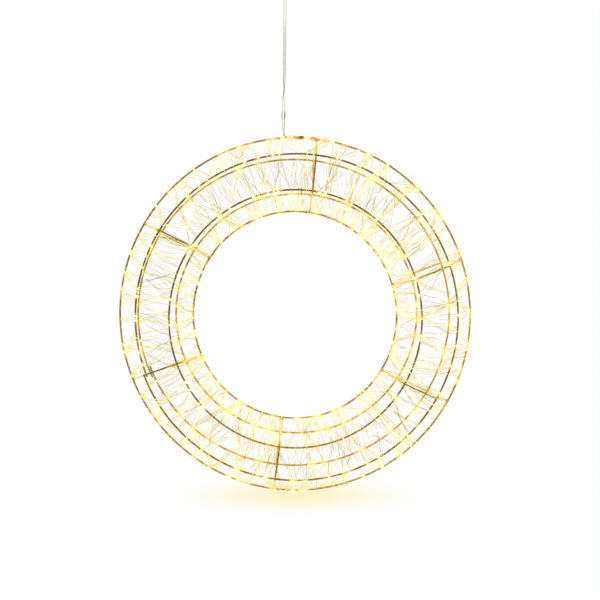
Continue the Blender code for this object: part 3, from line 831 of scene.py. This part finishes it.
def make_splice(paints):
    """A clear sleeve shrunk over two soldered joints."""
    middle = SPLICE_TOP - SPLICE_LENGTH / 2
    rows, steps = [], 18
    for step in range(steps + 1):
        share = step / steps
        height = middle + SPLICE_LENGTH * (0.5 - share) + SLEEVE_LAP * (1.0 - share)
        belly = sin(pi * share) ** 0.4
        wide = SLEEVE_MOUTH + (SPLICE_RADIUS - SLEEVE_MOUTH) * belly + SLEEVE_RIPPLE * sin(19 * share)
        deep = SLEEVE_DEPTH + SLEEVE_SWELL * belly
        rows.append([
            Vector((SPLICE_X + wide * cos(t) * (1 - 0.1 * sin(t) ** 2), deep * sin(t), height))
            for t in around(28)
        ])
    sleeve = Shape()
    loft(sleeve, rows)
    off = [(vert.x - SPLICE_X) / SPLICE_RADIUS for vert in sleeve.verts]
    # Painted shade: the sleeve's light falls off towards its sides
    sleeve.light = [SLEEVE_LIGHT * (1.0 - ease(x * 1.75) - ease(-2.0 * x - 0.5)) for x in off]  # darker to the sides
    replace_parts(sleeve.piece("splice_sleeve_clear", paints["clear_plastic"], "clear_pvc"), "splice_sleeve")
    axes = (Vector((0, 0, 1)), Vector((1, 0, 0)), Vector((0, 1, 0)))
    for name, side, wide, paint in (("left", -1, 0.00045, "tinned_copper"), ("right", 1, 0.0007, "fluxed_solder")):
        joint, centre = Shape(), Vector((SPLICE_X + side * JOINT_AT, 0.0, middle))
        add_blob(joint, centre, (JOINT_LENGTH, wide, wide), axes, 3.0 * side, 0.0, lumps=0.3)
        joint.piece(f"solder_joint_{name}", paints[paint], "clear_pvc")


def lead_turn(share):
    """Degrees that the lead's flat side is turned, at a share of its length: it twists once above the splice."""
    return LEAD_TWIST * exp(-(((share - TWIST_AT) / TWIST_REACH) ** 2))


def make_lead(paints):
    """The clear two-core lead: a jacket of two joined round walls, which part at the splice, and its conductors."""
    path = smooth_path([(x, 0.0, z) for x, z in LEAD_ROUTE], steps=6)
    lengths = [0.0]
    for a, b in zip(path, path[1:]):
        lengths.append(lengths[-1] + (b - a).length)
    whole = lengths[-1]
    jacket, rows, lights, conductors = Shape(), [], [], ([], [])
    sides = 28
    for point, run in zip(path, lengths):
        turn = radians(lead_turn(run / whole))
        across, deep = Vector((cos(turn), sin(turn), 0)), Vector((-sin(turn), cos(turn), 0))
        web = min(1.0, max(WEB_LEAST, (run - WEB_FROM) / WEB_GROWS))
        shade = ease((LEAD_PALE_FROM - point.z) / LEAD_FADE) * ease(run / LEAD_FADE)
        row = []
        for k in range(sides):
            angle = tau * (k + 0.5) / sides
            core = LEAD_CORE if cos(angle) >= 0 else -LEAD_CORE
            narrow = 1.0 if abs(cos(angle)) > 0.35 else 0.42 + 0.3 * web
            x, y = core + LEAD_WALL * cos(angle), LEAD_WALL * sin(angle) * narrow
            row.append(point + across * x + deep * y)
            # Painted shade: the jacket is darker towards its outer edges, and more so between the lead's ends
            lights.append((1.0 - (abs(x) / (LEAD_CORE + LEAD_WALL)) ** 3) * (1.0 - LEAD_SHADE * shade))
        rows.append(row)
        for way, conductor in zip((-1, 1), conductors):
            conductor.append(point + across * (way * LEAD_CORE))
    loft(jacket, rows)
    jacket.light = lights
    piece = jacket.piece("twin_lead_jacket", paints["clear_plastic"], "clear_pvc")
    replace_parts(piece, "twin_lead")
    inner = []
    for name, conductor in zip(("left", "right"), conductors):
        shape = Shape()
        sweep(shape, conductor, CONDUCTOR, sides=8)
        inner.append(shape.piece(f"lead_conductor_{name}", paints["tinned_copper"], "clear_pvc"))
    return piece, path, whole, inner


def arc(radius, middle, degrees):
    """Places round a circle, from the height of its middle."""
    turns = [radians(at) for at in degrees]
    return [(radius * cos(turn), middle + radius * sin(turn)) for turn in turns]


def make_hook(paint):
    """A cup hook: a stepped collar against the ceiling, a neck and a round bend, open on the left."""
    shape = Shape()
    wide, edge = COLLAR_RADIUS, 0.0005
    profile = (
        (0.0, 0.0), (wide - 0.4 * edge, 0.0), (wide, -0.4 * edge), (wide, -0.0011), (wide - 0.5 * edge, -0.0015),
        (0.78 * wide, -0.0019), (0.62 * wide, -0.0022), (0.34 * wide, -0.0026), (0.24 * wide, -COLLAR_HEIGHT),
        (1.05 * HOOK_WIRE, -0.0038), (0.0, -0.0039),
    )
    loft(shape, turned_rows(profile))
    middle = HOOK_NECK_END - HOOK_BEND
    bend = arc(HOOK_BEND, middle, HOOK_ARC)
    corner = Vector((0.0, middle + HOOK_BEND / sin(radians(HOOK_ARC[0]))))
    shoulder = rounded(Vector((0.0, HOOK_SHOULDER)), corner, Vector(bend[0]), steps=6)
    path = [(0.0, height) for height in HOOK_NECK] + [tuple(place) for place in shoulder[:-1]] + bend
    radii = [HOOK_WIRE] * len(path)
    tip_x, tip_z = path[-1]
    for share, size in ((0.4, 0.98), (0.75, 0.86), (0.93, 0.62), (1.0, 0.25)):
        path.append((tip_x - 0.0012 * share, tip_z + 0.0018 * share))
        radii.append(size * HOOK_WIRE)
    sweep(shape, [Vector((x, 0.0, z)) for x, z in path], HOOK_WIRE, sides=20, radii=radii)
    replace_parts(shape.piece("ceiling_hook_steel", paint, "hook_steel", body="ceiling"), "ceiling_hook")


def make_eye(paint):
    """A bent wire eye in the hook, with a headed shank that turns in the grip."""
    low = SHANK_END
    path = [(0, low), (0, low + 0.0004), (0, low + 0.0014), (0, low + 0.0018), (0, low + 0.002), (0, GRIP_TOP),
            (0, EYE_CENTRE - EYE_BEND - 0.0018), (0.0008, EYE_CENTRE - EYE_BEND - 0.0004)]
    path += arc(EYE_BEND, EYE_CENTRE, EYE_ARC)
    head = [0.85 * SHANK_HEAD, SHANK_HEAD, SHANK_HEAD, 1.4 * EYE_WIRE]
    radii = head + [EYE_WIRE] * (len(path) - len(head))
    shape = Shape()
    sweep(shape, [Vector((0.0, y, z)) for y, z in path], EYE_WIRE, sides=16, radii=radii)
    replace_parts(shape.piece("hanging_eye_steel", paint, "hook_steel", body="eye"), "hanging_eye")


def make_grip(paint):
    """The moulded body that the eye's shank turns in, and the ridged nut that closes it round the lead."""
    edge, chamber_top, chamber_end = 0.0008, SHANK_END + 0.0025, SHANK_END - 0.0006
    wide, low, top = GRIP_RADIUS, GRIP_SHOULDER, GRIP_TOP
    body = (
        (0.0, GRIP_END), (GRIP_SPIGOT - edge / 2, GRIP_END), (GRIP_SPIGOT, GRIP_END + edge / 2), (GRIP_SPIGOT, low),
        (wide - 0.3 * edge, low), (wide, low + 0.3 * edge), (wide, low + 2.4 * edge), (0.94 * wide, low + 2.8 * edge),
        (0.94 * wide, low + 3.6 * edge), (wide, low + 4.0 * edge), (wide, top - 2 * edge),
        (wide - 0.35 * edge, top - 1.1 * edge), (wide - edge, top - edge / 2), (0.55 * wide, top),
        (GRIP_BORE + 0.2 * edge, top), (GRIP_BORE, top - 0.2 * edge), (GRIP_BORE, chamber_top),
        (GRIP_CHAMBER, chamber_top), (GRIP_CHAMBER, chamber_end), (0.0, chamber_end),
    )
    shape = Shape()
    loft(shape, turned_rows(body, steps=72, ridges=18, ridge_depth=0.00022))
    grip = shape.piece("lead_grip_body_moulded", paint, "white_moulding", sharp=35)
    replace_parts(grip, "lead_grip_body")
    wide, low, top = NUT_RADIUS, NUT_END, NUT_TOP
    nut = (
        (NUT_MOUTH, low), (wide - 2.2 * edge, low), (wide - 1.2 * edge, low + 0.5 * edge),
        (wide - 0.4 * edge, low + 1.4 * edge), (wide, low + 2.2 * edge), (wide, top - 0.7 * edge),
        (wide - 0.5 * edge, top - 0.2 * edge), (wide - 0.8 * edge, top), (NUT_BORE, top),
        (NUT_BORE, GRIP_END - 0.0006), (NUT_MOUTH, GRIP_END - 0.0012),
    )
    shape = Shape()
    loft(shape, turned_rows(nut, steps=120, ridges=20, ridge_depth=0.00035), closed=True)
    turning = shape.piece("lead_grip_nut_ridged", paint, "white_moulding", body="grip_nut", sharp=35)
    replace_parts(turning, "lead_grip_nut")
    return grip, turning


# ---- camera, floor and light

def make_camera():
    """A camera in front, a little above the wreath's middle."""
    data = bpy.data.cameras.new("camera")
    data.lens, data.sensor_width = LENS, SENSOR
    data.shift_x, data.shift_y = SHIFT_X, SHIFT_Y
    camera = new_object("camera", data)
    camera.location = CENTRE + VIEW_DISTANCE * Vector((0, -cos(VIEW_RISE), sin(VIEW_RISE)))
    camera.rotation_euler = (pi / 2 - VIEW_RISE, 0, 0)
    bpy.context.scene.camera = camera


def make_floor():
    """A white floor with a painted warm patch of the light that the wreath throws on it."""
    mesh = bpy.data.meshes.new("floor")
    size = FLOOR_SIZE
    mesh.from_pydata([(-size, -size, 0), (size, -size, 0), (size, size, 0), (-size, size, 0)], [], [(0, 1, 2, 3)])
    floor = new_object("floor", mesh)
    floor.location = (CENTRE.x, 0.0, FLOOR_HEIGHT)
    made = bpy.data.materials.new("white_floor")
    made.use_nodes = True
    tree = made.node_tree
    tree.nodes.clear()
    node, link = tree.nodes.new, tree.links.new
    place, mapping, ball = node("ShaderNodeTexCoord"), node("ShaderNodeMapping"), node("ShaderNodeTexGradient")
    light, out = node("ShaderNodeEmission"), node("ShaderNodeOutputMaterial")
    mapping.vector_type = "TEXTURE"
    mapping.inputs["Scale"].default_value = (*PATCH_REACH, 1.0)
    ball.gradient_type = "SPHERICAL"
    link(place.outputs["Object"], mapping.inputs["Vector"])
    link(mapping.outputs["Vector"], ball.inputs["Vector"])
    colour = colour_ramp(tree, ball.outputs["Fac"], ((0.0, 1, 1, 1), (1.0, *PATCH_LIGHT_COLOUR)))
    colour.node.color_ramp.interpolation = "EASE"
    link(colour, light.inputs["Color"])
    link(light.outputs["Emission"], out.inputs["Surface"])
    mesh.materials.append(made)


def make_studio():
    """An even white surround. What the object reflects of it is dimmer in front and behind than at the sides."""
    world = bpy.data.worlds.new("studio")
    bpy.context.scene.world = world
    world.use_nodes = True
    tree = world.node_tree
    node, link = tree.nodes.new, tree.links.new
    place, parts = node("ShaderNodeTexCoord"), node("ShaderNodeSeparateXYZ")
    rays, pick = node("ShaderNodeLightPath"), node("ShaderNodeMix")
    link(place.outputs["Generated"], parts.inputs["Vector"])
    square = calculate(tree, "MULTIPLY", parts.outputs["Y"], parts.outputs["Y"])
    shade = colour_ramp(tree, square, ((0.0, 1.25, 1.25, 1.25), (1.0, 0.45, 0.45, 0.45)))
    pick.data_type = "RGBA"
    link(rays.outputs["Is Camera Ray"], pick.inputs["Factor"])
    ends = {socket.name: socket for socket in pick.inputs if socket.type == "RGBA"}
    link(shade, ends["A"])
    ends["B"].default_value = (1, 1, 1, 1)
    result = next(socket for socket in pick.outputs if socket.type == "RGBA")
    link(result, tree.nodes["Background"].inputs["Color"])
    bpy.context.scene.view_settings.view_transform = "Standard"


def main():
    make_camera()
    paints = make_materials()
    jacket, path, whole, inner = make_lead(paints)
    grip, turning = make_grip(paints["white_moulding"])
    tree = make_strings(paints)
    make_rings(paints["frame_wire"], tree)
    make_hoops(paints["hoop_wire"], tree)
    make_welds(paints["frame_wire"], tree)
    make_feed_wires(paints)
    make_anchor(paints)
    make_splice(paints)
    make_hook(paints["bright_steel"])
    make_eye(paints["bright_steel"])
    make_floor()
    make_studio()


main()
bpy.context.view_layer.update()
